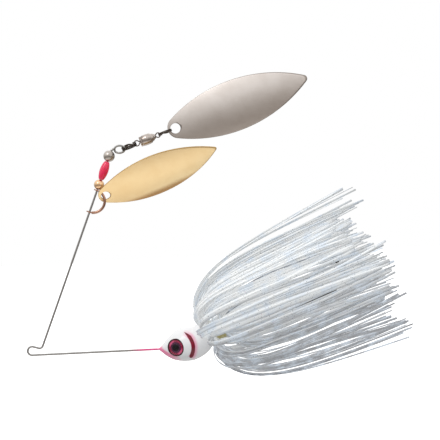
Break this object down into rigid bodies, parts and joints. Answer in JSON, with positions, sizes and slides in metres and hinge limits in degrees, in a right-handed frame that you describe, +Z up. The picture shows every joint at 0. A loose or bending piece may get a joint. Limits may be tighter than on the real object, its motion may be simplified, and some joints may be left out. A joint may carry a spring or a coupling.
{
  "type": "tandem willow-leaf spinnerbait",
  "caption": "Fishing spinnerbait: bent wire frame with a cast head, hook and strand skirt below, and two spinning willow-leaf blades with beads, clevis and swivel above.",
  "frame": {"origin": "centre of the open line-tie bend in the wire", "axes": "+X along the lower arm towards the head and tail, +Z up towards the blades, the wire lies in the plane Y = 0"},
  "size_m": [0.1353, 0.054, 0.1072],
  "materials": {
    "stainless_wire": "satin",
    "head_paint": "gloss",
    "hook_steel": "satin",
    "eye_foil": "gloss",
    "eye_resin": "gloss",
    "collar_latex": "satin",
    "skirt_silicone": "satin",
    "copper_wire": "polished",
    "gold_plate": "polished",
    "gold_bead_metal": "polished",
    "red_bead_gloss": "gloss",
    "silver_bead_metal": "polished",
    "black_nickel": "polished",
    "swivel_nickel": "polished",
    "ball_steel": "polished",
    "nickel_plate": "satin"
  },
  "bodies": {
    "frame": {"wire_frame": "stainless_wire", "head": "head_paint", "hook": "hook_steel", "eye_disc_left": "eye_foil", "eye_disc_right": "eye_foil", "eye_dome_left": "eye_resin", "eye_dome_right": "eye_resin", "skirt_collar": "collar_latex", "skirt_left": "skirt_silicone", "skirt_right": "skirt_silicone"},
    "gold_bead": {"gold_bead": "gold_bead_metal"},
    "red_bead": {"red_bead": "red_bead_gloss"},
    "silver_bead": {"silver_bead": "silver_bead_metal"},
    "clevis": {"clevis": "copper_wire"},
    "front_blade": {"front_blade": "gold_plate"},
    "front_ring": {"front_split_ring": "black_nickel"},
    "swivel_eye": {"swivel_front_eye": "swivel_nickel"},
    "swivel": {"swivel_barrel": "swivel_nickel", "swivel_cap": "swivel_nickel", "swivel_balls": "ball_steel", "swivel_rear_eye": "swivel_nickel"},
    "rear_ring": {"rear_split_ring": "black_nickel"},
    "rear_blade": {"rear_blade": "nickel_plate"}
  },
  "joints": [
    {"name": "gold_bead_slide", "type": "slide", "parent": "frame", "child": "gold_bead", "axis": [0.3746, 0, 0.9272], "range_m": [-0.048, 0]},
    {"name": "red_bead_slide", "type": "slide", "parent": "frame", "child": "red_bead", "axis": [0.3746, 0, 0.9272], "range_m": [-0.048, 0]},
    {"name": "silver_bead_slide", "type": "slide", "parent": "frame", "child": "silver_bead", "axis": [0.3746, 0, 0.9272], "range_m": [-0.048, 0]},
    {"name": "clevis_spin", "type": "hinge", "parent": "gold_bead", "child": "clevis", "pos_m": [0.02391, 0, 0.05129], "axis": [0.3746, 0, 0.9272], "continuous": true},
    {"name": "front_blade_swing", "type": "hinge", "parent": "clevis", "child": "front_blade", "pos_m": [0.02391, 0, 0.05129], "axis": [0, 1, 0], "range_deg": [-2, 80]},
    {"name": "front_ring_swing", "type": "hinge", "parent": "frame", "child": "front_ring", "pos_m": [0.03568, 0, 0.06934], "axis": [-0.3173, 0, 0.9483], "range_deg": [-80, 80]},
    {"name": "swivel_tilt", "type": "hinge", "parent": "front_ring", "child": "swivel_eye", "pos_m": [0.04008, 0, 0.07081], "axis": [0, 1, 0], "range_deg": [-80, 3]},
    {"name": "swivel_spin", "type": "hinge", "parent": "swivel_eye", "child": "swivel", "pos_m": [0.04128, 0, 0.07121], "axis": [0.9483, 0, 0.3173], "continuous": true},
    {"name": "rear_ring_tilt", "type": "hinge", "parent": "swivel", "child": "rear_ring", "pos_m": [0.04763, 0, 0.07334], "axis": [0, 1, 0], "range_deg": [-80, 3]},
    {"name": "rear_blade_swing", "type": "hinge", "parent": "rear_ring", "child": "rear_blade", "pos_m": [0.05015, 0, 0.07418], "axis": [-0.3173, 0, 0.9483], "range_deg": [-75, 75]}
  ],
  "couplings": [
    {"joint": "red_bead_slide", "follows": "gold_bead_slide", "ratio": 1},
    {"joint": "silver_bead_slide", "follows": "gold_bead_slide", "ratio": 1}
  ]
}
